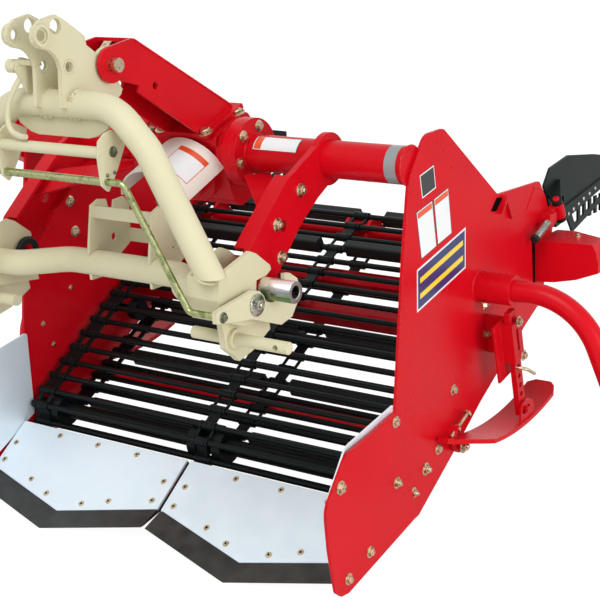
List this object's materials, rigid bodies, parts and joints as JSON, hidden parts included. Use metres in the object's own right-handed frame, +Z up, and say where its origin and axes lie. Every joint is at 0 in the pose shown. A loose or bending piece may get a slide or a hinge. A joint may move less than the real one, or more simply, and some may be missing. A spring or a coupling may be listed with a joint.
{
  "type": "potato digger",
  "caption": "One-row elevator potato digger for a small tractor: two pointed shares, a bar web between side plates, side skids, rear wings, parking legs and a quick coupler.",
  "frame": {"origin": "middle of the bounding box on the ground plane, in the machine's middle plane", "axes": "+X to the right seen from the front, +Y rearward (the machine works towards -Y), +Z up"},
  "size_m": [1.716, 1.3455, 1.031],
  "materials": {
    "red_paint": "gloss",
    "cream_paint": "gloss",
    "black_paint": "satin",
    "bare_steel": "satin",
    "dark_steel": "satin",
    "zinc_plate": "satin",
    "pale_plastic": "matte",
    "black_rubber": "matte"
  },
  "bodies": {
    "frame": {"gearbox": "red_paint", "pto_guard": "pale_plastic", "upper_arm": "red_paint", "top_pin": "zinc_plate", "share_beam": "red_paint", "cross_tubes": "red_paint", "web_bars": "black_paint", "web_flights": "black_rubber", "web_links": "black_paint", "rear_shaft": "red_paint", "web_rollers": "black_paint", "crossbars": "red_paint", "chain_case": "red_paint", "shaft_cover": "red_paint", "wear_plates": "dark_steel", "front_plates": "red_paint", "coupler_arch": "cream_paint", "mast_plates": "cream_paint", "coupler_tube": "cream_paint", "link_pins": "cream_paint", "lock_hooks": "cream_paint", "lock_linkage": "cream_paint", "lock_rods": "zinc_plate", "joint_bracket": "cream_paint", "side_plate_left": "red_paint", "side_plate_right": "red_paint", "share_cover_left": "dark_steel", "share_cover_right": "dark_steel", "share_blade_left": "dark_steel", "share_blade_right": "dark_steel", "side_box_left": "cream_paint", "side_box_right": "cream_paint", "hitch_strut_left": "red_paint", "hitch_strut_right": "red_paint", "side_fittings_left": "red_paint", "side_fittings_right": "red_paint"},
    "pto_input": {"pto_shaft": "bare_steel"},
    "wing_left_body": {"wing_left": "black_paint"},
    "skid_left_body": {"skid_left": "red_paint"},
    "post_left_body": {"skid_post_left": "red_paint"},
    "leg_left_body": {"leg_left": "red_paint"},
    "wing_right_body": {"wing_right": "black_paint"},
    "skid_right_body": {"skid_right": "red_paint"},
    "post_right_body": {"skid_post_right": "red_paint"},
    "leg_right_body": {"leg_right": "red_paint"}
  },
  "joints": [
    {"name": "pto_shaft_spin", "type": "hinge", "parent": "frame", "child": "pto_input", "pos_m": [0, -0.2475, 0.6947], "axis": [0, -0.9285, -0.3714], "continuous": true},
    {"name": "wing_left_swing", "type": "hinge", "parent": "frame", "child": "wing_left_body", "pos_m": [-0.495, 0.352, 0.558], "axis": [0, -0.454, 0.891], "range_deg": [-12, 18]},
    {"name": "skid_left_tilt", "type": "hinge", "parent": "frame", "child": "skid_left_body", "pos_m": [-0.51, -0.086, 0.172], "axis": [1, 0, 0], "range_deg": [-8, 1.5]},
    {"name": "skid_post_left_slide", "type": "slide", "parent": "frame", "child": "post_left_body", "axis": [0, -0.2215, 0.9751], "range_m": [-0.0235, 0.0045]},
    {"name": "leg_left_swing", "type": "hinge", "parent": "frame", "child": "leg_left_body", "pos_m": [-0.52, 0.026, 0.466], "axis": [1, 0, 0], "range_deg": [0, 120]},
    {"name": "wing_right_swing", "type": "hinge", "parent": "frame", "child": "wing_right_body", "pos_m": [0.495, 0.352, 0.558], "axis": [0, -0.454, 0.891], "range_deg": [-18, 12]},
    {"name": "skid_right_tilt", "type": "hinge", "parent": "frame", "child": "skid_right_body", "pos_m": [0.51, -0.086, 0.172], "axis": [1, 0, 0], "range_deg": [-8, 1.5]},
    {"name": "skid_post_right_slide", "type": "slide", "parent": "frame", "child": "post_right_body", "axis": [0, -0.2215, 0.9751], "range_m": [-0.0235, 0.0045]},
    {"name": "leg_right_swing", "type": "hinge", "parent": "frame", "child": "leg_right_body", "pos_m": [0.52, 0.026, 0.466], "axis": [1, 0, 0], "range_deg": [0, 120]}
  ],
  "couplings": [
    {"joint": "skid_post_left_slide", "follows": "skid_left_tilt", "m_per_rad": 0.1666},
    {"joint": "skid_post_right_slide", "follows": "skid_right_tilt", "m_per_rad": 0.1666}
  ]
}
